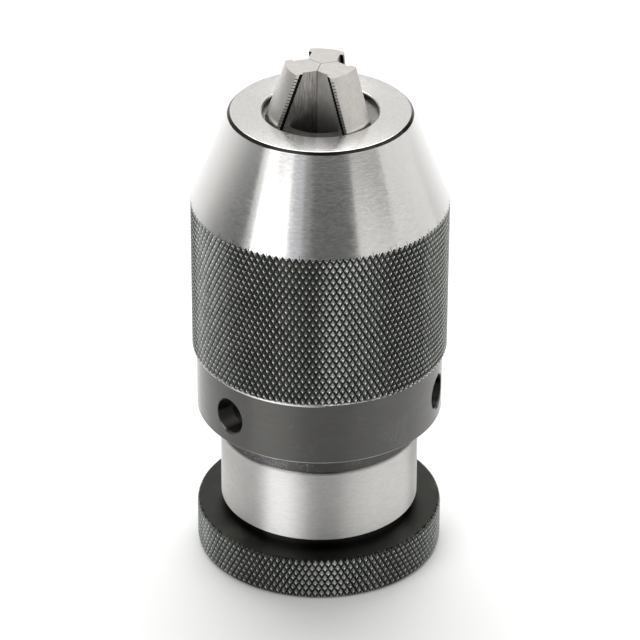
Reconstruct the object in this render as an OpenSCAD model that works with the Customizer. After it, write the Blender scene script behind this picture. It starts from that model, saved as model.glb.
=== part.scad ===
// Keyless precision drill chuck, nose up, standing on the back face of its grip ring.
// Origin: centre of the back face, +Z along the axis towards the jaws. Millimetres.
// Drawn closed: the three jaws meet on the axis. Turning the sleeve winds the feed screw
// back into the body, and the jaws slide back and out along the guide's inclined slots.

/* [Sleeve] */
// Diameter over the crests of the knurled band
sleeve_d = 57; // [56:0.5:70]
// Length of the knurled band
band_h = 35.9; // [35.5:0.1:50]
// Length of the ground cone in front of the band
nose_h = 21.8; // [20:0.1:28]
// Diameter of the cone at its front edge
nose_d = 40.6; // [38:0.1:50]
// Chamfer between the cone and the nose face
nose_chamfer = 0.65; // [0.2:0.05:1.5]
// Gap between the jaws' backs and the mouth they come out of
mouth_gap = 0.67; // [0.3:0.01:2]
// Thickness of the lip that holds the jaw guide in
lip_t = 1.3; // [1:0.1:3]

/* [Collar] */
// Diameter of the smooth collar
collar_d = 55; // [52:0.5:70]
// Length of the smooth collar
collar_h = 15.3; // [14.5:0.1:24]
// How far the collar screws up into the hood
collar_spigot_l = 13; // [8:0.5:13.5]
// Wall of the collar where it screws into the hood
collar_wall = 3.2; // [2:0.1:3.4]
// Number of spanner holes round the collar
spanner_count = 3; // [1:1:6]
// Diameter of a spanner hole
spanner_d = 8; // [4:0.1:10]
// Metal left between a spanner hole's floor and the bearing bore
spanner_floor = 1.7; // [1:0.1:3]
// Height of the spanner holes above the collar's lower edge
spanner_up = 6.9; // [5:0.1:9]
// Direction of the first spanner hole
spanner_turn = 103.5; // [0:0.5:360]

/* [Dust cover] */
// Diameter of the dust cover below the collar
cover_d = 44.6; // [42:0.1:50]
// Length of the dust cover below the collar
cover_h = 5.8; // [3:0.1:8]
// Length of the cover's spigot in the collar
cover_spigot_l = 3.6; // [2:0.1:3.8]
// Step from the bearing's bore in to the cover's bore
cover_step = 1; // [0.5:0.1:2]
// Gap between the turning cover and the neck
cover_gap = 0.4; // [0.2:0.05:1]

/* [Body] */
// Diameter of the ground neck
neck_d = 44.6; // [42:0.1:50]
// Length of the ground neck
neck_h = 17.3; // [12:0.1:30]
// Diameter of the body inside the sleeve
core_d = 32; // [26:0.1:34]
// Step from the core down to the thread above the bearing
thread_step = 2; // [1:0.1:3]
// Diameter of the tail that the grip ring is pressed on
tail_d = 34; // [28:0.1:38]
// Large end of the B16 taper socket
taper_d = 15.733; // [12:0.001:20]
// Depth of the taper socket
taper_l = 24; // [18:0.5:29]
// Length per unit of diameter of the taper
taper_ratio = 20.02; // [19:0.01:21]

/* [Grip ring] */
// Diameter over the crests of the knurled grip ring
grip_d = 55.6; // [46:0.1:68]
// Height of the grip ring
grip_h = 10.2; // [6:0.1:16]
// Diameter of the ring's hub below the neck
hub_d = 42.6; // [38:0.1:44]
// Height of the hub above the ring
hub_h = 1.9; // [1:0.1:4]

/* [Bearing] */
// Diameter of the balls
ball_d = 3.5; // [2.5:0.1:3.8]
// Number of balls
ball_count = 20; // [8:1:22]
// Thickness of the cage that spaces them
cage_t = 1.2; // [0.8:0.1:1.6]
// Thickness of each race
race_t = 2.2; // [1.8:0.1:2.6]
// Depth of the balls' groove in each race
groove_depth = 0.525; // [0.3:0.025:0.8]
// Radial width of the bearing
bearing_w = 5.3; // [5:0.1:5.6]
// Thickness of the shim that sets the play
shim_t = 0.5; // [0.2:0.1:1]
// Thickness of the ring that the body pulls the bearing with
thrust_t = 4.5; // [3:0.1:5]
// Thickness of the clip that locks that ring
clip_t = 1; // [0.6:0.1:1.2]

/* [Feed screw] */
// Wall of the body round the nut
nut_housing = 2.5; // [1.5:0.1:3.5]
// Wall of the nut round the screw
nut_wall = 2.5; // [1.5:0.1:3.5]
// Gap between the slotted head and the bearing's bore, which the head passes when the jaws open
head_play = 1.3; // [0.4:0.1:4]
// Floor of the head under its T-slots
head_floor = 2; // [1.5:0.1:3]

/* [Jaws] */
// Largest shank that the jaws take
capacity = 16; // [12:0.1:16.5]
// Angle between the jaws' travel and the axis
jaw_angle = 20; // [19.5:0.5:24]
// How far the closed jaws stand out of the nose
jaw_out = 11.15; // [6:0.05:14]
// Distance from the axis to the back of a closed jaw's tip
jaw_reach = 7.5; // [7:0.1:8]
// Width of a jaw's cap
cap_w = 7.6; // [6:0.1:8]
// Thickness of the cap, square to its back
cap_t = 2.16; // [1.5:0.02:3]
// Radius across the cap's rounded back
cap_back_r = 11; // [9:0.1:12]
// Width of a jaw's stem
stem_w = 6.2; // [4:0.1:6.6]
// Seam left between two closed jaws
seam = 0.12; // [0.05:0.01:0.3]
// Width of a jaw's foot in the T-slot
foot_w = 10; // [8:0.1:11]
// Height of a jaw's foot
foot_h = 3; // [2:0.1:4]
// Height of the neck above the foot
foot_neck_h = 3.2; // [2:0.1:4]
// Distance from the axis to the inner end of a closed jaw's foot
foot_in = 4.5; // [4:0.1:5]
// Distance from the axis to the outer end of a closed jaw's foot
foot_out = 11.7; // [10:0.1:11.8]
// Direction of the first jaw
jaw_turn = 78; // [0:0.5:360]
// Distance between two serrations on the cap's sides
serration_pitch = 0.72; // [0.5:0.01:1.5]
// Depth of a serration
serration_depth = 0.16; // [0.05:0.01:0.3]

/* [Jaw guide] */
// Length of the guide
guide_l = 18.8; // [14:0.1:19]
// Bore of the guide
guide_bore_d = 17; // [16.5:0.1:18]
// Wall of the guide behind the jaws
guide_wall = 1.4; // [1:0.1:2]
// Diameter of the pins that lock the guide in the hood
guide_pin_d = 3; // [2:0.1:4]
// Length of those pins
guide_pin_l = 6; // [4:0.1:8]

/* [Fits] */
// Radial clearance of pieces that turn or slide on each other
running = 0.05; // [0.02:0.01:0.1]
// Clearance of the jaws in their slots
slide = 0.08; // [0.02:0.01:0.1]
// Gap between pieces that are pressed or screwed together
seat = 0.02; // [0.01:0.01:0.05]
// Gap between pieces that pass without touching
clear = 0.4; // [0.3:0.05:0.6]

/* [Hidden] */
$fn = 96;
eps = 0.01;
far = 200;
jaw_count = 3;

edge = 0.25;              // small chamfer on turned edges
grip_chamfer = 0.6;       // chamfer under the grip ring
grip_bevel = 0.45;        // bevel round the grip ring's top
socket_chamfer = 0.6;     // chamfer at the taper socket's mouth
spanner_chamfer = 0.4;    // chamfer at a spanner hole's mouth
clip_depth = 1;           // depth of the retaining clip's groove
clip_w = 3;               // radial width of the retaining clip
clip_gap = 40;            // opening of the retaining clip, in degrees
web_t = 3;                // wall between the taper socket and the nut
tommy_d = 2.5;            // holes that the thrust ring is tightened by
tommy_depth = 2;
seal_in = 1;              // from the core out to the dust seal
seal_w = 3;               // radial width of the dust seal
seal_depth = 1.5;         // depth of the seal's groove in the neck
serration_count = 28;     // serrations down each side of a cap
serration_slope = 0.8;    // half width of a serration for each unit of its depth
head_gap = 0.3;           // between the closed jaws and the screw's head
shank_chamfer = 1;        // at the lower end of the feed screw
shoulder_t = 2.4;         // of the collar's shoulder that carries the bearing

// Levels up the axis
z_neck = grip_h + hub_h;
z_neck_top = z_neck + neck_h;
z_cover = z_neck_top + cover_gap;
z_collar = z_cover + cover_h;
z_hood = z_collar + collar_h;
z_band_top = z_hood + band_h;
z_face = z_band_top + nose_h;
z_tip = z_face + jaw_out;
z_guide_top = z_face - lip_t;
z_guide = z_guide_top - guide_l;

// Radii
sleeve_r = sleeve_d / 2;
collar_r = collar_d / 2;
core_r = core_d / 2;
thread_r = core_r - thread_step;
nut_r = thread_r - nut_housing;
screw_r = nut_r - nut_wall;
bearing_r = core_r + bearing_w;
race_mid_r = core_r + bearing_w / 2;
thrust_mid_r = (thread_r + bearing_r) / 2;
head_r = bearing_r - head_play;
hood_bore_r = bearing_r + collar_wall;
cover_spigot_r = bearing_r - cover_step;
seal_r = core_r + seal_in;

// Bearing stack, from the collar's shoulder up
z_shoulder = z_collar + cover_spigot_l;
z_shim = z_shoulder + shoulder_t;
z_race = z_shim + shim_t;
z_balls = z_race + race_t - groove_depth + ball_d / 2;
z_race_2 = z_balls + ball_d / 2 - groove_depth;
z_thrust = z_race_2 + race_t;
z_clip = z_thrust + thrust_t;

// Jaw travel and feed screw
travel = capacity / 2 / tan(jaw_angle);
head_h = head_floor + foot_h + foot_neck_h;
z_head_top = z_guide - clear;
z_head = z_head_top - head_h;
z_core_top = z_head - travel - clear;
z_nut = taper_l + web_t;
z_foot = z_head + head_floor;
z_jaw = z_head_top + head_gap;

// Where the back of a closed jaw's cap is at height z
function jaw_back(z) = jaw_reach + (z_tip - z) * tan(jaw_angle);
// Where the guide's outer cone is at height z
function guide_cone(z) = jaw_back(z) + slide + guide_wall;
// Height at which the hood's inner cone has opened to radius r
function cone_height(r) = z_tip - (r - seat - slide - guide_wall - jaw_reach) / tan(jaw_angle);

// Radii that the jaws need: the heels clear the hood's bore when open, and the backs the mouth
heel_r = hood_bore_r - clear - capacity / 2;
mouth_r = jaw_back(z_guide_top) + mouth_gap;

// A turned piece from its outline of [radius, height] points
module turned(outline) {
    rotate_extrude() polygon(outline);
}

// A plain ring between two radii and two heights
module ring(r_in, r_out, z_low, z_high) {
    turned([[r_in, z_low], [r_out, z_low], [r_out, z_high], [r_in, z_high]]);
}

// Copies round the axis, the first at angle start
module around(count, start) {
    for (i = [0 : count - 1]) rotate([0, 0, start + i * 360 / count]) children();
}

// Puts the frame on the back of a closed jaw's tip: +X square to the back, +Z up along it
module on_back() {
    translate([jaw_reach, 0, z_tip]) rotate([0, -jaw_angle, 0]) children();
}

// The long bar that a jaw's cap is cut from, grown by play on every side
module cap_bar(play) {
    on_back() intersection() {
        translate([-cap_t - play, -cap_w / 2 - play, -far / 2])
            cube([cap_t + 2 * play, cap_w + 2 * play, far]);
        translate([-cap_back_r, 0, -far / 2]) cylinder(r = cap_back_r + play, h = far);
    }
}

// Everything on the axis side of the middle of the cap
module inside_cap() {
    on_back() translate([-far - cap_t / 2, -far / 2, -far]) cube([far, far, 2 * far]);
}

// Body: tail, neck, core, thread for the thrust ring and B16 socket
module body_core() {
    neck_r = neck_d / 2;
    tail_r = tail_d / 2;
    socket_r = taper_d / 2;
    socket_end_r = socket_r - taper_l / taper_ratio / 2;
    color("lightgray") difference() {
        turned([
            [0, 0], [tail_r - edge, 0], [tail_r, edge], [tail_r, z_neck],
            [neck_r - edge, z_neck], [neck_r, z_neck + edge],
            [neck_r, z_neck_top - edge], [neck_r - edge, z_neck_top],
            [core_r, z_neck_top], [core_r, z_thrust], [thread_r, z_thrust],
            [thread_r, z_core_top - edge], [thread_r - edge, z_core_top], [0, z_core_top]
        ]);
        turned([
            [0, -eps], [socket_r + socket_chamfer, -eps], [socket_r, socket_chamfer],
            [socket_end_r, taper_l], [0, taper_l]
        ]);
        translate([0, 0, z_nut]) cylinder(r = nut_r, h = far);
        ring(seal_r, seal_r + seal_w, z_neck_top - seal_depth, z_neck_top + eps);
        ring(thread_r - clip_depth, thread_r + eps, z_clip, z_clip + clip_t);
    }
}

// Knurled ring that holds the body still, pressed on its tail
module grip_ring() {
    r = grip_d / 2;
    bore_r = tail_d / 2 + seat;
    color("#2b2d2c") turned([
        [bore_r, 0], [r - grip_chamfer, 0], [r, grip_chamfer],
        [r, grip_h - grip_bevel], [r - grip_bevel, grip_h],
        [hub_d / 2, grip_h], [hub_d / 2, z_neck - seat], [bore_r, z_neck - seat]
    ]);
}

// Nut with the left-hand thread, pressed into the body
module feed_nut() {
    color("darkgoldenrod") ring(screw_r + running, nut_r - seat, z_nut + seat, z_core_top);
}

// Ring groove that the balls run in, cut from a race
module ball_track() {
    rotate_extrude() translate([race_mid_r, z_balls]) circle(r = ball_d / 2 + running, $fn = 48);
}

// Race on the body's side of the balls
module upper_race() {
    color("gainsboro") difference() {
        ring(core_r + seat, bearing_r - clear, z_race_2, z_thrust - seat);
        ball_track();
    }
}

// Ring screwed on the core, which runs in the collar's bore
module thrust_ring() {
    color("gray") difference() {
        ring(thread_r + seat, bearing_r - running, z_thrust, z_clip - seat);
        around(2, 0) translate([thrust_mid_r, 0, z_clip - tommy_depth])
            cylinder(d = tommy_d, h = far, $fn = 32);
    }
}

// Spring clip that keeps the thrust ring from unscrewing
module retaining_clip() {
    color("dimgray") rotate([0, 0, clip_gap / 2]) rotate_extrude(angle = 360 - clip_gap)
        translate([thread_r - clip_depth + seat, z_clip + seat])
            square([clip_w, clip_t - 2 * seat]);
}

// Rubber ring in the neck's top face, which wipes the dust cover
module dust_seal() {
    color("#1a1a1a")
        ring(seal_r + seat, seal_r + seal_w - seat, z_neck_top - seal_depth + seat, z_cover - running);
}

// Hood: knurled band, ground cone, nose face and the cone that backs the guide
module hood() {
    nose_r = nose_d / 2;
    color("silver") difference() {
        turned([
            [hood_bore_r, z_hood + seat], [sleeve_r - edge, z_hood + seat],
            [sleeve_r, z_hood + edge + seat], [sleeve_r, z_band_top],
            [nose_r, z_face - nose_chamfer], [nose_r - nose_chamfer, z_face],
            [mouth_r + edge, z_face], [mouth_r, z_face - edge], [mouth_r, z_guide_top + seat],
            [guide_cone(z_guide_top) + seat, z_guide_top + seat],
            [hood_bore_r, cone_height(hood_bore_r)]
        ]);
        guide_pin_set(seat);
    }
}

// Collar: screwed into the hood, with the bearing's shoulder and the spanner holes
module collar() {
    hole_floor_r = bearing_r + spanner_floor;
    hole_r = spanner_d / 2;
    spigot_r = hood_bore_r - seat;
    color("#3a3f3d") difference() {
        turned([
            [core_r + clear, z_collar], [collar_r - edge, z_collar], [collar_r, z_collar + edge],
            [collar_r, z_hood - edge], [collar_r - edge, z_hood], [spigot_r, z_hood],
            [spigot_r, z_hood + collar_spigot_l], [core_r + clear, z_hood + collar_spigot_l]
        ]);
        ring(0, bearing_r, z_shim, z_hood + collar_spigot_l + eps);
        ring(0, cover_spigot_r, z_collar - eps, z_shoulder);
        around(spanner_count, spanner_turn) translate([0, 0, z_collar + spanner_up]) rotate([0, 90, 0]) {
            translate([0, 0, hole_floor_r]) cylinder(r = hole_r, h = far);
            translate([0, 0, collar_r - spanner_chamfer])
                cylinder(r1 = hole_r, r2 = hole_r + 2 * spanner_chamfer, h = 2 * spanner_chamfer);
        }
    }
}

// Dust cover: pressed into the collar from behind, it turns over the neck
module dust_cover() {
    r = cover_d / 2;
    bore_r = core_r + clear;
    spigot_r = cover_spigot_r - seat;
    color("#6b6f6d") turned([
        [bore_r, z_cover], [r - edge, z_cover], [r, z_cover + edge],
        [r, z_collar - edge], [r - edge, z_collar - seat], [spigot_r, z_collar - seat],
        [spigot_r, z_shoulder - seat], [bore_r, z_shoulder - seat]
    ]);
}

// Ground washer that sets the bearing's play
module bearing_shim() {
    color("lightsteelblue") ring(core_r + clear, bearing_r - seat, z_shim + seat, z_race - seat);
}

// Race on the sleeve's side of the balls
module lower_race() {
    color("gainsboro") difference() {
        ring(core_r + clear, bearing_r - seat, z_race, z_race + race_t);
        ball_track();
    }
}

// Cone inside the hood with the three inclined T-slots that the jaws slide in
module jaw_guide() {
    bore_r = guide_bore_d / 2;
    slot_w = stem_w + 2 * slide;
    color("gray") difference() {
        turned([
            [bore_r, z_guide], [guide_cone(z_guide), z_guide],
            [guide_cone(z_guide_top), z_guide_top], [bore_r, z_guide_top]
        ]);
        around(jaw_count, jaw_turn) {
            cap_bar(slide);
            intersection() {
                translate([0, -slot_w / 2, z_guide - eps]) cube([far, slot_w, far]);
                inside_cap();
            }
        }
        guide_pin_set(seat);
    }
}

// The pins between the guide and the hood, grown by play
module guide_pin_set(play) {
    pin_r = guide_pin_d / 2;
    around(jaw_count, jaw_turn + 180 / jaw_count)
        translate([guide_cone(z_guide + guide_pin_l / 2), 0, z_guide - play])
            cylinder(r = pin_r + play, h = guide_pin_l + 2 * play, $fn = 32);
}

// Three pins that lock the guide in the hood, one between each pair of jaws
module guide_pins() {
    color("gainsboro") guide_pin_set(0);
}

// Cage that spaces the balls
module ball_cage() {
    pocket_r = ball_d / 2 + running;
    color("goldenrod") difference() {
        ring(core_r + clear, bearing_r - clear, z_balls - cage_t / 2, z_balls + cage_t / 2);
        around(ball_count, 0) translate([race_mid_r, 0, z_balls - ball_d])
            cylinder(r = pocket_r, h = 2 * ball_d, $fn = 32);
    }
}

// Balls of the thrust bearing
module bearing_balls() {
    color("white") around(ball_count, 0) translate([race_mid_r, 0, z_balls]) sphere(r = ball_d / 2, $fn = 32);
}

// Feed screw: left-hand screw with a slotted head that pushes the jaws
module feed_screw() {
    shank_end = z_nut + travel + clear;
    slot_w = stem_w + 2 * slide;
    t_w = foot_w + 2 * slide;
    color("darkgray") difference() {
        turned([
            [0, shank_end], [screw_r - shank_chamfer, shank_end],
            [screw_r, shank_end + shank_chamfer], [screw_r, z_head],
            [head_r - edge, z_head], [head_r, z_head + edge],
            [head_r, z_head_top - edge], [head_r - edge, z_head_top], [0, z_head_top]
        ]);
        around(jaw_count, jaw_turn) {
            translate([foot_in - clear, -slot_w / 2, z_foot]) cube([far, slot_w, far]);
            translate([foot_in - clear, -t_w / 2, z_foot - slide]) cube([far, t_w, foot_h + 2 * slide]);
        }
    }
}

// One closed jaw, its back towards +X
module jaw() {
    stem_r = stem_w / 2;
    nose = seam / 2 / sin(60);
    flank = stem_r / tan(60);
    color("#b9b5ad") difference() {
        union() {
            intersection() {
                union() {
                    cap_bar(0);
                    intersection() {
                        translate([0, 0, z_jaw - far]) linear_extrude(2 * far) polygon([
                            [nose, 0], [nose + flank, -stem_r], [far, -stem_r], [far, stem_r],
                            [nose + flank, stem_r]
                        ]);
                        inside_cap();
                    }
                }
                translate([0, -far / 2, z_jaw]) cube([heel_r, far, z_tip - z_jaw]);
            }
            translate([foot_in, -stem_r, z_foot]) cube([foot_out - foot_in, stem_w, z_jaw + eps - z_foot]);
            translate([foot_in, -foot_w / 2, z_foot]) cube([foot_out - foot_in, foot_w, foot_h]);
        }
        jaw_serrations();
    }
}

// V-grooves across both sides of a jaw's cap
module jaw_serrations() {
    d = serration_depth;
    half_w = 2 * d * serration_slope;
    on_back() for (side = [-1, 1]) for (i = [1 : serration_count])
        translate([-cap_t - d, side * cap_w / 2, -i * serration_pitch]) rotate([90, 0, 90])
            linear_extrude(cap_t + 2 * d) polygon([[-d * side, 0], [d * side, half_w], [d * side, -half_w]]);
}

module jaw_1() {
    rotate([0, 0, jaw_turn]) jaw();
}

module jaw_2() {
    rotate([0, 0, jaw_turn + 120]) jaw();
}

module jaw_3() {
    rotate([0, 0, jaw_turn + 240]) jaw();
}

body_core();
grip_ring();
feed_nut();
upper_race();
thrust_ring();
retaining_clip();
dust_seal();
hood();
collar();
dust_cover();
bearing_shim();
lower_race();
jaw_guide();
guide_pins();
ball_cage();
bearing_balls();
feed_screw();
jaw_1();
jaw_2();
jaw_3();
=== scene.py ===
"""Looks of the keyless drill chuck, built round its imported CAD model."""
import math

import bmesh
import bpy
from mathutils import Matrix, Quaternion, Vector


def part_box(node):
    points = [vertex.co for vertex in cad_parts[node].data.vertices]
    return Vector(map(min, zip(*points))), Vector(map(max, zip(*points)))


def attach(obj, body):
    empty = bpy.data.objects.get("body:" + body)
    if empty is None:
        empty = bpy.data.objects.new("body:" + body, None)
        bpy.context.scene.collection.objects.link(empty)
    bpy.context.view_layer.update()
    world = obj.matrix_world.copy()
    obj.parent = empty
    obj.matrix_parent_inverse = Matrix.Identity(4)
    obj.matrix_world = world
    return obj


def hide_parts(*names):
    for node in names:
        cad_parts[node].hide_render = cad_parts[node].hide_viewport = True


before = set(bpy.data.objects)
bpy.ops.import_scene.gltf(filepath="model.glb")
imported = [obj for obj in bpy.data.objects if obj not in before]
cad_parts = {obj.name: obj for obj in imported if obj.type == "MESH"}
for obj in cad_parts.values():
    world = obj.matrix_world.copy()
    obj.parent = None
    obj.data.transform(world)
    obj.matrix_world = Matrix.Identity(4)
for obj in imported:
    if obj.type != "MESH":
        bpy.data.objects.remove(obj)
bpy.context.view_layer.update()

MM = 0.001
SEGMENTS = 288            # sides of a turned piece
ROUND_STEPS = 3           # edges in a rounded corner
CORNER_SHARE = 0.45       # most of an edge that the corner at its end may take


# --- Sizes, from the frame -------------------------------------------------------------------

def radius_of(node):
    """Outer radius of a turned CAD node, in metres."""
    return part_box(node)[1].x


def foot_of(node):
    """Lowest height of a CAD node, in metres."""
    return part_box(node)[0].z


def top_of(node):
    """Highest height of a CAD node, in metres."""
    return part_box(node)[1].z


KNURL_DEPTH = 0.45 * MM
KNURL_ROW = 2.59 * MM         # height of one diamond
KNURL_CREST = 0.18            # share of a diamond that its flat crest takes
KNURL_INSET = 0.1 * MM        # from the grooves in to the turned face below them
KNURL_SHARP_ANGLE = 20        # edges of a knurled piece that turn more degrees than this stay hard
SPARE_ROWS = 2                # rows of diamonds past each end of a knurl, which are cut off
WELD = 0.002 * MM             # corners of the knurl closer than this become one
EDGE = 0.25 * MM              # small broken edge

SLEEVE_R = radius_of("hood")
SLEEVE_DIAMONDS = 122
BAND_TOP = foot_of("hood") + 35.9 * MM    # where the knurled band meets the cone
NOSE_R = 20.3 * MM
NOSE_CHAMFER = 0.65 * MM
MOUTH_R = 12.7 * MM
HOOD_BORE_R = 24.5 * MM
HOOD_LIP = 1.28 * MM          # thickness of the lip in front of the jaw guide
HOOD_ROUND = 0.12 * MM
GUIDE_GAP = 0.02 * MM         # between the jaw guide and the hood
PLAIN_CONE = 0.15 * MM        # of cone between the knurl's last groove and the first turned ring

GRIP_R = radius_of("grip_ring")
GRIP_DIAMONDS = 120
RING_TOP = foot_of("grip_ring") + 10.2 * MM   # the hub stands higher
RING_BEVEL = 0.45 * MM
RING_CHAMFER = 0.6 * MM
RING_BORE_R = 17.02 * MM
RING_ROUND = 0.1 * MM
HUB_R = 21.3 * MM

JAW_TURN = 78                 # direction of the first jaw, in degrees
JAW_STEM_STAIN_AND_SHADE = (0.8, 0.8, 0.05)     # how dark each jaw's stem is: oil stain, and painted shade that leaves the third jaw's stem lighter
JAW_SLOPE = math.radians(20)  # lean of a jaw's back
JAW_REACH = 7.5 * MM          # from the axis to the back of a jaw's tip
BACK_AT = JAW_REACH * math.cos(JAW_SLOPE) + top_of("jaw_1") * math.sin(JAW_SLOPE)
STEM_HALF_MM = 3.1            # half the width of a jaw's stem
SHADE_STRIP_EDGE_MM = 3.68          # outer edge of the strip of painted shade, from the middle of the jaw
CAP_MM = 1.4                  # thickness of a jaw's cap

# Material slots of a knurled piece
KNURL, PLAIN, NOSE_EDGE, MOUTH = range(4)


# --- Mesh building ---------------------------------------------------------------------------

def rounded(outline, size):
    """The closed outline with each corner replaced by a short arc that starts size away from it."""
    points = []
    count = len(outline)
    for i, corner in enumerate(outline):
        here = Vector(corner)
        before = Vector(outline[i - 1]) - here
        after = Vector(outline[(i + 1) % count]) - here
        cut = min(size, before.length * CORNER_SHARE, after.length * CORNER_SHARE)
        start = here + before.normalized() * cut
        end = here + after.normalized() * cut
        for step in range(ROUND_STEPS + 1):
            t = step / ROUND_STEPS
            points.append(start * (1 - t) ** 2 + here * 2 * t * (1 - t) + end * t * t)
    return points


def ring_of(bm, r, z):
    """A ring of vertices round the axis."""
    turn = 2 * math.pi / SEGMENTS
    return [bm.verts.new((r * math.cos(i * turn), r * math.sin(i * turn), z)) for i in range(SEGMENTS)]


def angle_of(vert):
    """Direction of a vertex from the axis, from 0 to a full turn."""
    return math.atan2(vert.co.y, vert.co.x) % (2 * math.pi)


def zip_rings(bm, lower, upper):
    """Joins two rings that may differ in their number of vertices. Each runs anticlockwise."""
    lower = sorted(lower, key=angle_of)
    upper = sorted(upper, key=angle_of)
    i = j = 0
    while i < len(lower) or j < len(upper):
        a = lower[i % len(lower)]
        b = upper[j % len(upper)]
        next_a = lower[(i + 1) % len(lower)]
        next_b = upper[(j + 1) % len(upper)]
        turn_a = angle_of(next_a) + (2 * math.pi if i + 1 >= len(lower) else 0)
        turn_b = angle_of(next_b) + (2 * math.pi if j + 1 >= len(upper) else 0)
        if j >= len(upper) or (i < len(lower) and turn_a <= turn_b):
            bm.faces.new((a, next_a, b))
            i += 1
        else:
            bm.faces.new((a, next_b, b))
            j += 1


def join_rings(bm, first, second):
    """Quads between two rings with the same number of vertices."""
    count = len(first)
    for i in range(count):
        k = (i + 1) % count
        bm.faces.new((first[i], first[k], second[k], second[i]))


def finish_mesh(bm, name, sharp_angle=30):
    """Turns the bmesh into a smooth-shaded object with its hard edges kept."""
    bmesh.ops.recalc_face_normals(bm, faces=bm.faces)
    mesh = bpy.data.meshes.new(name)
    bm.to_mesh(mesh)
    bm.free()
    mesh.shade_smooth()
    mesh.set_sharp_from_angle(angle=math.radians(sharp_angle))
    obj = bpy.data.objects.new(name, mesh)
    bpy.context.scene.collection.objects.link(obj)
    return obj


def clip_polygon(points, inside):
    """The part of a polygon where inside(point) is positive."""
    kept = []
    for i, here in enumerate(points):
        before = points[i - 1]
        d_here = inside(here)
        d_before = inside(before)
        if (d_here > 0) != (d_before > 0):
            share = d_before / (d_before - d_here)
            kept.append(before.lerp(here, share))
        if d_here > 0:
            kept.append(here)
    return kept


def diamond_faces(crest_r, count, column, row):
    """The five faces of one knurl diamond: its four flanks and its flat crest."""
    half_turn = math.pi / count
    half_row = KNURL_ROW / 2
    root_r = crest_r - KNURL_DEPTH

    def place(r, along, up):
        """A point of the diamond, along and up in halves of its width and height."""
        angle = (column + along) * half_turn
        return Vector((r * math.cos(angle), r * math.sin(angle), (row + up) * half_row))

    ends = [(1, 0), (0, 1), (-1, 0), (0, -1)]
    root = [place(root_r, a, u) for a, u in ends]
    crest = [place(crest_r, a * KNURL_CREST, u * KNURL_CREST) for a, u in ends]
    flanks = [[root[i - 1], root[i], crest[i], crest[i - 1]] for i in range(4)]
    return flanks + [crest]


def knurled(name, crest_r, count, outline, low_limit, high_limit):
    """A turned piece whose outer wall is a diamond knurl.

    outline runs from the knurl's upper end over the top, through the bore and back to its lower end.
    low_limit(z) and high_limit(z) give the radius of the turned surfaces that cut the knurl off.
    """
    first_row = math.floor(2 * outline[-1][1] / KNURL_ROW) - SPARE_ROWS
    last_row = math.ceil(2 * outline[0][1] / KNURL_ROW) + SPARE_ROWS
    bm = bmesh.new()
    for row in range(first_row, last_row + 1):
        for column in range(row % 2, 2 * count, 2):
            for face in diamond_faces(crest_r, count, column, row):
                face = clip_polygon(face, lambda p: low_limit(p.z) - p.xy.length)
                face = clip_polygon(face, lambda p: high_limit(p.z) - p.xy.length)
                if len(face) > 2:
                    bm.faces.new([bm.verts.new(p) for p in face])
    bmesh.ops.remove_doubles(bm, verts=bm.verts, dist=WELD)
    bmesh.ops.dissolve_degenerate(bm, edges=bm.edges, dist=WELD / 2)
    knurl_faces = set(bm.faces)
    # The knurl's two ragged ends are joined to the first and last ring of the turned surface.
    middle = (outline[0][1] + outline[-1][1]) / 2
    rim = {v for e in bm.edges if e.is_boundary for v in e.verts}
    rings = [ring_of(bm, r, z) for r, z in outline]
    zip_rings(bm, [v for v in rim if v.co.z > middle], rings[0])
    for i in range(1, len(rings)):
        join_rings(bm, rings[i - 1], rings[i])
    zip_rings(bm, rings[-1], [v for v in rim if v.co.z <= middle])
    for face in bm.faces:
        face.material_index = KNURL if face in knurl_faces else PLAIN
    return finish_mesh(bm, name, KNURL_SHARP_ANGLE)


# --- Pieces ----------------------------------------------------------------------------------

def make_hood():
    """Hood with its knurled band, ground cone and nose, open inside for the jaw guide."""
    foot = foot_of("hood")
    face = top_of("hood")
    cone_slope = (SLEEVE_R - NOSE_R) / (face - NOSE_CHAMFER - BAND_TOP)
    lip_at = face - HOOD_LIP
    inner_slope = math.tan(JAW_SLOPE)
    lip_r = radius_of("jaw_guide") - inner_slope * (lip_at - foot_of("jaw_guide")) + GUIDE_GAP
    cone_end = lip_at - (HOOD_BORE_R - lip_r) / inner_slope

    def cone(z):
        """Radius of the ground cone."""
        return SLEEVE_R - (z - BAND_TOP) * cone_slope

    def low_edge(z):
        """Radius of the broken edge at the foot."""
        return SLEEVE_R - EDGE + (z - foot)

    start = BAND_TOP + KNURL_DEPTH / cone_slope + PLAIN_CONE
    shape = [
        (NOSE_R, face - NOSE_CHAMFER), (NOSE_R - NOSE_CHAMFER, face), (MOUTH_R + EDGE, face),
        (MOUTH_R, face - EDGE), (MOUTH_R, lip_at), (lip_r, lip_at), (HOOD_BORE_R, cone_end),
        (HOOD_BORE_R, foot),
    ]
    foot_r = SLEEVE_R - KNURL_DEPTH - KNURL_INSET
    outline = [(cone(start), start)] + rounded(shape, HOOD_ROUND) + [(foot_r, foot)]
    hood = knurled("knurled_hood", SLEEVE_R, SLEEVE_DIAMONDS, outline, low_edge, cone)
    for polygon in hood.data.polygons:
        r = polygon.center.xy.length
        is_wall = polygon.normal.z < 0.5
        if polygon.center.z > face - NOSE_CHAMFER and r > NOSE_R - NOSE_CHAMFER:
            polygon.material_index = NOSE_EDGE
        elif r < MOUTH_R and is_wall:
            polygon.material_index = MOUTH
    return hood


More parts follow.
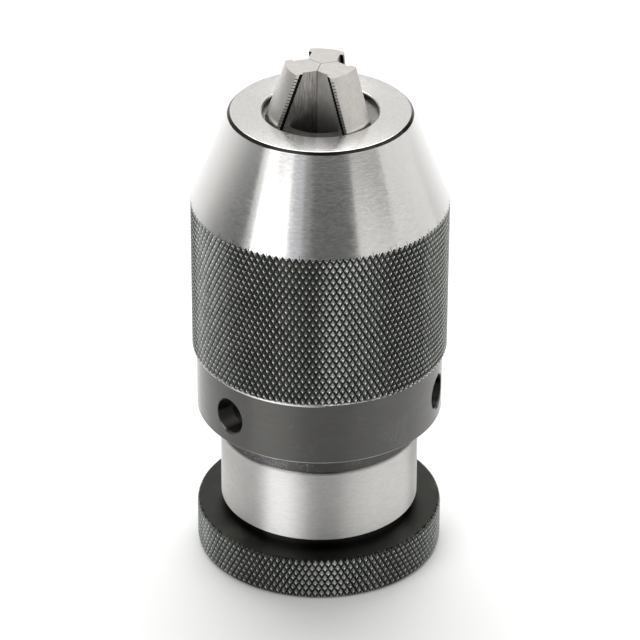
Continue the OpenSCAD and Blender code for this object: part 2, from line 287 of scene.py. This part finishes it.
def make_grip_ring():
    """Knurled grip ring with a bevelled top edge and its hub under the neck."""
    foot = foot_of("grip_ring")
    hub_top = top_of("grip_ring")

    def low_edge(z):
        """Radius of the chamfer at the foot."""
        return GRIP_R - RING_CHAMFER + (z - foot)

    def high_edge(z):
        """Radius of the bevel at the top."""
        return GRIP_R - RING_BEVEL + (RING_TOP - z)

    inner = GRIP_R - KNURL_DEPTH - EDGE
    shape = [(HUB_R, RING_TOP), (HUB_R, hub_top), (RING_BORE_R, hub_top), (RING_BORE_R, foot)]
    outline = [(inner, RING_TOP)] + rounded(shape, RING_ROUND) + [(inner - KNURL_INSET, foot)]
    return knurled("knurled_grip_ring", GRIP_R, GRIP_DIAMONDS, outline, low_edge, high_edge)


# --- Materials -------------------------------------------------------------------------------

NOISE_LOW = 0.35              # a noise lies mostly between these two
NOISE_HIGH = 0.65
OXIDE = [0.078, 0.082, 0.078, 1]
DEEP_OXIDE = [0.035, 0.038, 0.035, 1]
HIGHLIGHT_SIDE = (-0.41, -0.91, 0)     # direction in which the collar's line of painted highlight lies
HIGHLIGHT_FROM_MM = 24.3               # distance along it at which the painted highlight starts
HIGHLIGHT_TO_MM = 26.3                 # and at which it is at full brightness

# Sockets of a Mix node that mixes colours
MIX_SHARE, MIX_FIRST, MIX_SECOND, MIX_RESULT = 0, 6, 7, 2


class Finish:
    """A Principled material whose texture nodes are added one at a time."""

    def __init__(self, name, **sockets):
        self.material = bpy.data.materials.new(name)
        self.material.use_nodes = True
        self.tree = self.material.node_tree
        self.shader = self.tree.nodes["Principled BSDF"]
        for socket, value in sockets.items():
            self.shader.inputs[socket.replace("_", " ")].default_value = value

    def add(self, kind, settings=None, **inputs):
        """Adds a node. An input given as a socket is linked, and any other is set.

        An input is named by its label, with _ for a space, or by i and its number.
        """
        node = self.tree.nodes.new(kind)
        for key, value in (settings or {}).items():
            setattr(node, key, value)
        for key, value in inputs.items():
            numbered = key[0] == "i" and key[1:].isdigit()
            socket = node.inputs[int(key[1:]) if numbered else key.replace("_", " ")]
            self.feed(socket, value)
        return node

    def feed(self, socket, value):
        """Links a socket to another, or sets it to a value."""
        if isinstance(value, bpy.types.NodeSocket):
            self.tree.links.new(value, socket)
        else:
            socket.default_value = value

    def out(self, socket, value):
        """Sends a value to one of the shader's sockets."""
        self.feed(self.shader.inputs[socket], value)

    def place(self, scale=(1, 1, 1)):
        """Object coordinates in millimetres, times scale. A noise has about scale features in a mm."""
        coords = self.add("ShaderNodeTexCoord").outputs["Object"]
        return self.add("ShaderNodeMapping", Vector=coords, Scale=[s / MM for s in scale]).outputs[0]

    def from_axis(self, scale=1.0):
        """Distance from the axis in millimetres, times scale."""
        flat = self.place((scale, scale, 0))
        return self.add("ShaderNodeVectorMath", {"operation": "LENGTH"}, i0=flat).outputs["Value"]

    def noise(self, vector, detail, roughness=0.6, w=None):
        """Noise from 0 to 1. A fourth coordinate w makes it change with one more measure."""
        settings = {"noise_dimensions": "4D" if w is not None else "3D"}
        node = self.add("ShaderNodeTexNoise", settings, Vector=vector, Scale=1.0, Detail=detail,
                        Roughness=roughness)
        if w is not None:
            self.feed(node.inputs["W"], w)
        return node.outputs["Fac"]

    def blotches(self, scale, detail, roughness=0.6):
        """Noise with the same scale in every direction."""
        return self.noise(self.place((scale, scale, scale)), detail, roughness)

    def spread(self, value, low, high, to_low, to_high):
        """Maps value from low..high to to_low..to_high, held at the ends."""
        node = self.add("ShaderNodeMapRange", None, Value=value, From_Min=low, From_Max=high,
                        To_Min=to_low, To_Max=to_high)
        return node.outputs["Result"]

    def fade_in(self, value, low=NOISE_LOW, high=NOISE_HIGH, most=1.0):
        """0 where value is under low, rising to most at high."""
        return self.spread(value, low, high, 0.0, most)

    def fade_out(self, value, low, high):
        """1 where value is under low, falling to 0 at high."""
        return self.spread(value, low, high, 1.0, 0.0)

    def vary(self, noise, low, high):
        """A roughness that follows a noise from low to high."""
        return self.spread(noise, 0.3, 0.7, low, high)

    def mix(self, share, first, second):
        """A colour between first and second."""
        node = self.add("ShaderNodeMix", {"data_type": "RGBA"})
        self.feed(node.inputs[MIX_SHARE], share)
        self.feed(node.inputs[MIX_FIRST], first)
        self.feed(node.inputs[MIX_SECOND], second)
        return node.outputs[MIX_RESULT]

    def bump(self, height, strength, distance_mm=0.02):
        """A direction of the surface roughened by height."""
        node = self.add("ShaderNodeBump", None, Height=height, Strength=strength,
                        Distance=distance_mm * MM)
        return node.outputs["Normal"]

    def math(self, operation, *values):
        """The result of one arithmetic operation."""
        node = self.add("ShaderNodeMath", {"operation": operation})
        for socket, value in zip(node.inputs, values):
            self.feed(socket, value)
        return node.outputs[0]

    def times(self, first, second):
        """Two values multiplied."""
        return self.math("MULTIPLY", first, second)

    def dot(self, vector, direction):
        """How far vector reaches along direction."""
        node = self.add("ShaderNodeVectorMath", {"operation": "DOT_PRODUCT"}, i0=vector, i1=direction)
        return node.outputs["Value"]

    def normal(self):
        """The surface's direction in the object's own frame."""
        return self.add("ShaderNodeTexCoord").outputs["Normal"]

    def height_mm(self):
        """Height over the floor, in millimetres."""
        return self.dot(self.place(), (0, 0, 1))

    def tangent(self):
        """The direction round the axis, along which turning marks run."""
        return self.add("ShaderNodeTangent", {"direction_type": "RADIAL", "axis": "Z"}).outputs[0]

    def turned_grain(self, across, along):
        """Fine streaks round the axis, on cylinders, cones and flat faces alike."""
        return self.noise(self.place((along, along, across)), 5.0, 0.65, self.from_axis(across))

    def scratches(self):
        """A few short scratches that run in two directions."""
        first = self.noise(self.place((0.5, 3.5, 0.9)), 2.0, 0.4)
        second = self.noise(self.place((3.0, 0.6, 3.2)), 2.0, 0.4)
        where = self.blotches(0.12, 2.0)
        lines = self.math("MAXIMUM", self.line(first), self.line(second))
        return self.times(lines, self.fade_in(where, 0.56, 0.66))

    def line(self, value):
        """A thin line where a noise passes its middle."""
        distance = self.math("ABSOLUTE", self.math("SUBTRACT", value, 0.5))
        return self.fade_out(distance, 0.0, 0.006)


def grey(level, warmth=0.0):
    """A grey colour, warmer than neutral by warmth."""
    return [level * (1 + warmth), level, level * (1 - warmth), 1.0]


def ground_steel(name, level, rough=0.2, anisotropy=0.75, shaded_below=None):
    """Ground bright steel: fine streaks round the axis, specks and stray scratches.

    Under the last height given it is painted black: painted shade at the piece's foot.
    """
    f = Finish(name, Metallic=1.0, Anisotropic=anisotropy, Anisotropic_Rotation=0.25)
    f.out("Tangent", f.tangent())
    streaks = f.turned_grain(5.0, 0.8)
    specks = f.blotches(4.0, 3.0)
    stains = f.blotches(0.25, 4.0, 0.7)
    base = f.mix(f.fade_in(streaks), grey(level * 0.90, 0.02), grey(level * 1.06, 0.01))
    base = f.mix(f.fade_in(specks, 0.62, 0.72, 0.30), base, grey(level * 0.4, 0.02))
    base = f.mix(f.fade_in(stains, 0.60, 0.75, 0.25), base, grey(level * 0.7, 0.06))
    base = f.mix(f.scratches(), base, grey(0.95))
    # Painted shade: black under the given height, at the foot of the piece.
    if shaded_below is not None:
        painted_shade = f.fade_out(f.height_mm(), shaded_below / MM - 0.05, shaded_below / MM + 0.05)
        base = f.mix(painted_shade, base, grey(0.01))
    f.out("Base Color", base)
    f.out("Roughness", f.vary(streaks, rough * 0.8, rough * 1.3))
    f.out("Normal", f.bump(streaks, 0.08))
    return f.material


def knurl_oxide(name, crest_r, foot):
    """Black oxide on the knurl: dark in the grooves, rubbed to bare metal on crests, and worn bare
    along the lower edge with a painted highlight there.
    """
    f = Finish(name, Metallic=1.0)
    height = f.fade_in(f.from_axis(), (crest_r - KNURL_DEPTH) / MM, crest_r / MM)
    patch = f.noise(f.place((0.35, 0.35, 0.25)), 3.0)
    fine = f.blotches(6.0, 2.0)
    oxide = f.mix(f.fade_in(patch), [0.145, 0.155, 0.144, 1], [0.208, 0.216, 0.202, 1])
    base = f.mix(f.fade_out(height, 0.05, 0.35), oxide, grey(0.004))
    rub = f.times(f.fade_in(height, 0.86, 0.97), f.spread(fine, 0.36, 0.56, 0.2, 1.0))
    base = f.mix(rub, base, grey(0.80, 0.01))
    # Lower edge: real wear, brightened further as painted highlight.
    edge = f.fade_out(f.height_mm(), foot / MM + 0.1, foot / MM + 0.35)
    base = f.mix(f.times(edge, f.spread(patch, NOISE_LOW, NOISE_HIGH, 0.3, 1.0)), base, grey(0.70))
    f.out("Base Color", base)
    f.out("Roughness", f.vary(fine, 0.12, 0.22))
    f.out("Normal", f.bump(fine, 0.3, 0.03))
    return f.material


def smooth_oxide(name, colour, rough, oil=0.0, worn_edge=None, highlight_top=None):
    """Black oxide on a turned surface: satin, with faint turning marks and nicks, and a film of oil.

    Bare steel shows at the height worn_edge. A short line of painted highlight lies on the front-left
    side, just under the last height given.
    """
    f = Finish(name, Metallic=1.0, Anisotropic=1.0, Anisotropic_Rotation=0.25, Coat_Weight=oil,
               Coat_Roughness=0.2)
    f.out("Tangent", f.tangent())
    streaks = f.turned_grain(7.0, 0.3)
    mottle = f.blotches(0.15, 3.0)
    nicks = f.blotches(2.2, 5.0, 0.65)
    brown = [c * share for c, share in zip(colour, (1.06, 0.94, 0.88, 1.0))]
    tone = f.mix(f.fade_in(mottle, 0.40, 0.60), colour, brown)
    base = f.mix(f.fade_in(streaks, most=0.12), tone, grey(0.02))
    base = f.mix(f.fade_in(nicks, 0.69, 0.75, 0.6), base, grey(0.40))
    base = f.mix(f.times(f.scratches(), 0.6), base, grey(0.5))
    if worn_edge is not None:
        rub = f.fade_out(f.height_mm(), worn_edge / MM + 0.2, worn_edge / MM + 0.3)
        base = f.mix(f.times(rub, f.spread(mottle, 0.3, 0.6, 0.5, 1.0)), base, grey(0.65, 0.01))
    # Painted highlight: a short bright line on the front-left side only, just under the height given.
    if highlight_top is not None:
        line = f.fade_in(f.height_mm(), highlight_top / MM - 0.95, highlight_top / MM - 0.85)
        lit_side_mask = f.fade_in(f.dot(f.place(), HIGHLIGHT_SIDE), HIGHLIGHT_FROM_MM, HIGHLIGHT_TO_MM)
        base = f.mix(f.times(line, lit_side_mask), base, grey(0.95, 0.01))
    f.out("Base Color", base)
    f.out("Roughness", f.vary(streaks, rough * 0.9, rough * 1.1))
    f.out("Normal", f.bump(streaks, 0.05))
    return f.material


def jaw_zones(f, turn):
    """Three masks on a jaw, each from 0 to 1: its end face, its stem and the strip of painted shade
    beside the teeth.
    """
    across = (-math.sin(turn), math.cos(turn), 0)
    lean = math.cos(JAW_SLOPE)
    outward = (math.cos(turn) * lean, math.sin(turn) * lean, math.sin(JAW_SLOPE))
    aside = f.math("ABSOLUTE", f.dot(f.place(), across))
    depth = f.math("SUBTRACT", BACK_AT / MM, f.dot(f.place(), outward))
    upward = f.dot(f.normal(), (0, 0, 1))
    flank = f.times(f.fade_out(f.dot(f.normal(), outward), 0.3, 0.5), f.fade_out(upward, 0.85, 0.95))
    stem_edges = (STEM_HALF_MM + 0.01, STEM_HALF_MM + 0.04)
    beside_stem = f.fade_in(aside, *stem_edges)
    under_cap = f.fade_in(depth, CAP_MM, CAP_MM + 0.1)
    beside_teeth = f.math("MAXIMUM", f.fade_out(aside, SHADE_STRIP_EDGE_MM, SHADE_STRIP_EDGE_MM + 0.09), under_cap)
    stem = f.times(flank, f.fade_out(aside, *stem_edges))
    shade_strip = f.times(f.times(flank, beside_teeth), beside_stem)
    return f.fade_in(upward, 0.85, 0.95), stem, shade_strip


def jaw_steel(name, turn, stain_and_shade):
    """Hardened, ground jaw steel: warm grey with upright grain, oil stain and painted shade on the
    stem, and black painted shade under the edge of the cap.
    """
    f = Finish(name, Metallic=1.0)
    end_face, stem, shade_strip = jaw_zones(f, turn)
    grain = f.noise(f.place((7.0, 7.0, 0.6)), 5.0, 0.65)
    mottle = f.blotches(0.7, 3.0)
    speckle = f.blotches(4.0, 2.0)
    brushed = f.noise(f.place((9.0, 9.0, 0.35)), 4.0, 0.7)
    base = f.mix(f.fade_in(mottle, most=0.7), grey(0.62, 0.035), grey(0.52, 0.045))
    base = f.mix(f.fade_in(grain, 0.45, 0.70, 0.45), base, grey(0.36, 0.04))
    base = f.mix(f.fade_in(speckle, 0.62, 0.74, 0.5), base, grey(0.25, 0.04))
    base = f.mix(f.times(end_face, 0.35), base, grey(0.22, 0.04))
    # Stem: oil stain with painted shade; how dark it is differs from jaw to jaw, as lit and shaded
    # stems.
    base = f.mix(f.times(stem, f.spread(brushed, 0.38, 0.60, 0.1, stain_and_shade)), base, grey(0.12, 0.02))
    # Painted shade: the step under the cap's edge, beside the teeth, is painted black.
    base = f.mix(shade_strip, base, grey(0.008))
    f.out("Base Color", base)
    f.out("Roughness", f.vary(grain, 0.28, 0.44))
    f.out("Normal", f.bump(grain, 0.12))
    return f.material


def machined(name, colour, rough=0.35):
    """Plain machined metal for the pieces inside."""
    f = Finish(name, Metallic=1.0)
    grain = f.turned_grain(6.0, 0.4)
    mottle = f.blotches(0.6, 3.0)
    dark = [c * 0.7 for c in colour[:3]] + [1.0]
    f.out("Base Color", f.mix(f.fade_in(mottle), colour, dark))
    f.out("Roughness", f.vary(grain, rough * 0.8, rough * 1.2))
    f.out("Normal", f.bump(grain, 0.15))
    return f.material


def seal_rubber(name):
    """Matt black rubber."""
    f = Finish(name)
    fine = f.blotches(3.0, 4.0)
    f.out("Base Color", f.mix(fine, grey(0.010), grey(0.03)))
    f.out("Roughness", f.vary(fine, 0.6, 0.8))
    f.out("Normal", f.bump(fine, 0.2, 0.05))
    return f.material


def dress(obj, *materials):
    """Puts the materials in the object's slots, in order."""
    slots = obj.data.materials
    for i, material in enumerate(materials):
        if i < len(slots):
            slots[i] = material
        else:
            slots.append(material)


# --- Stage -----------------------------------------------------------------------------------

FLOOR_HALF = 3.0              # half the floor's width, in metres
FLOOR_HEIGHT = -0.0001        # just under the chuck's foot
LIGHTS_AIM = Vector((0, 0, 0.06))
SKY = (0.97, 1.0, 0.95, 1)
SKY_STRENGTH = 0.14
WHITE = (1, 1, 1)
WARM = (1.0, 0.99, 0.97)

# Name, azimuth, elevation, distance, width, height, radiance and colour of each soft panel.
# Azimuth 0 is in front of the chuck and 90 on its right. Sizes are in metres.
PANELS = [
    ("key_left", -45, 33, 1.3, 0.78, 1.3, 2.6, WHITE),
    ("key_low", -57, 2, 1.3, 0.46, 0.20, 1.3, WHITE),
    ("key_edge", -22, 24, 1.3, 0.28, 1.2, 0.6, (0.93, 0.92, 1.0)),
    ("key_tail", -12, 24, 1.3, 0.18, 1.2, 0.18, (1.0, 0.97, 0.95)),
    ("left_back", -122, 30, 1.4, 1.5, 1.1, 0.42, (1.0, 0.98, 0.95)),
    ("back_low", 180, 4, 1.6, 3.0, 0.25, 1.2, WHITE),
    ("fill_right", 51, 33, 1.4, 0.95, 1.4, 0.98, WARM),
    ("side_right", 93, 22, 1.4, 1.3, 1.4, 0.80, WARM),
    ("back", 180, 32, 1.5, 1.2, 0.8, 0.9, WARM),
    ("top_back", 180, 62, 1.5, 1.6, 0.8, 6.0, WHITE),
]


def make_floor():
    """Plain pale floor."""
    bm = bmesh.new()
    corners = [(-1, -1), (1, -1), (1, 1), (-1, 1)]
    bm.faces.new([bm.verts.new((x * FLOOR_HALF, y * FLOOR_HALF, FLOOR_HEIGHT)) for x, y in corners])
    floor = finish_mesh(bm, "floor")
    f = Finish("floor_white", Roughness=0.55)
    f.out("Base Color", f.mix(f.blotches(0.02, 2.0), grey(0.86), grey(0.90)))
    dress(floor, f.material)


def make_light(name, azimuth, elevation, distance, width, height, radiance, colour):
    """A soft panel that faces the chuck."""
    data = bpy.data.lights.new(name, "AREA")
    data.shape = "RECTANGLE"
    data.size = width
    data.size_y = height
    data.energy = radiance * math.pi * width * height
    data.color = colour
    lamp = bpy.data.objects.new(name, data)
    a = math.radians(azimuth)
    e = math.radians(elevation)
    away = Vector((math.sin(a) * math.cos(e), -math.cos(a) * math.cos(e), math.sin(e)))
    lamp.location = LIGHTS_AIM + away * distance
    lamp.rotation_mode = "QUATERNION"
    lamp.rotation_quaternion = away.to_track_quat("Z", "Y")
    bpy.context.scene.collection.objects.link(lamp)


def make_lights():
    """Soft panels round the chuck, with a dark gap behind the camera, and a faint sky."""
    world = bpy.data.worlds.new("studio")
    world.use_nodes = True
    sky = world.node_tree.nodes["Background"]
    sky.inputs["Color"].default_value = SKY
    sky.inputs["Strength"].default_value = SKY_STRENGTH
    bpy.context.scene.world = world
    for panel in PANELS:
        make_light(*panel)


def make_camera():
    """The camera, 30 degrees above the chuck, with a long lens."""
    data = bpy.data.cameras.new("camera")
    camera = bpy.data.objects.new("camera", data)
    elevation = math.radians(29.98)
    roll = math.radians(0.25)
    distance = 0.8326
    aim = Vector((0.00007, 0, 0.0562))
    back = Vector((0, -math.cos(elevation), math.sin(elevation)))
    data.sensor_width = 36.0
    data.lens = 209.9
    data.clip_start = 0.05
    data.clip_end = 20
    camera.location = aim + back * distance
    camera.rotation_mode = "QUATERNION"
    tilt = Quaternion((1, 0, 0), math.pi / 2 - elevation)
    camera.rotation_quaternion = tilt @ Quaternion((0, 0, 1), roll)
    bpy.context.scene.collection.objects.link(camera)
    bpy.context.scene.camera = camera


# --- Build -----------------------------------------------------------------------------------

ground = ground_steel("ground_steel", 0.64)
neck_steel = ground_steel("neck_steel", 0.84, 0.56, 1.0)
black = smooth_oxide("black_oxide", DEEP_OXIDE, 0.25)

hood = make_hood()
# The mouth's inner wall is painted near black: painted shade inside the mouth.
mouth_shade_steel = machined("mouth_shade_steel", grey(0.10, 0.02))
dress(hood, knurl_oxide("sleeve_knurl", SLEEVE_R, foot_of("hood")), ground, black, mouth_shade_steel)
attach(hood, "sleeve")
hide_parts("hood")

grip = make_grip_ring()
dress(grip, knurl_oxide("grip_knurl", GRIP_R, foot_of("grip_ring")), black)
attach(grip, "body")
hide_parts("grip_ring")

FINISHES = {
    "body_core": neck_steel,
    # The collar is worn bare at its foot and gets a line of painted highlight under the sleeve's foot.
    "collar": smooth_oxide("collar_oxide", OXIDE, 0.48, 1.0, foot_of("collar"), foot_of("hood")),
    # The dust cover gets a band of painted shade, black, just over its foot.
    "dust_cover": ground_steel("turned_steel", 0.13, 0.45, 1.0, foot_of("dust_cover") + EDGE),
    "dust_seal": seal_rubber("seal_rubber"),
    "jaw_guide": machined("guide_steel", grey(0.22, 0.02)),
    "feed_screw": machined("screw_steel", grey(0.35, 0.01)),
    "feed_nut": machined("nut_bronze", [0.58, 0.40, 0.20, 1]),
    "ball_cage": machined("cage_brass", [0.66, 0.50, 0.24, 1]),
    "retaining_clip": machined("clip_steel", grey(0.22)),
    "thrust_ring": machined("ring_steel", grey(0.40)),
}
# Each jaw gets its own copy of the steel, its stem darker or lighter as painted shade.
for i, stain_and_shade in enumerate(JAW_STEM_STAIN_AND_SHADE):
    turn = math.radians(JAW_TURN + i * 360 / len(JAW_STEM_STAIN_AND_SHADE))
    FINISHES[f"jaw_{i + 1}"] = jaw_steel(f"jaw_steel_{i + 1}", turn, stain_and_shade)
race_steel = machined("race_steel", grey(0.62), 0.18)
for node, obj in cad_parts.items():
    if node not in ("hood", "grip_ring"):
        dress(obj, FINISHES.get(node, race_steel))

make_floor()
make_lights()
make_camera()

bpy.context.scene.view_settings.view_transform = "Standard"
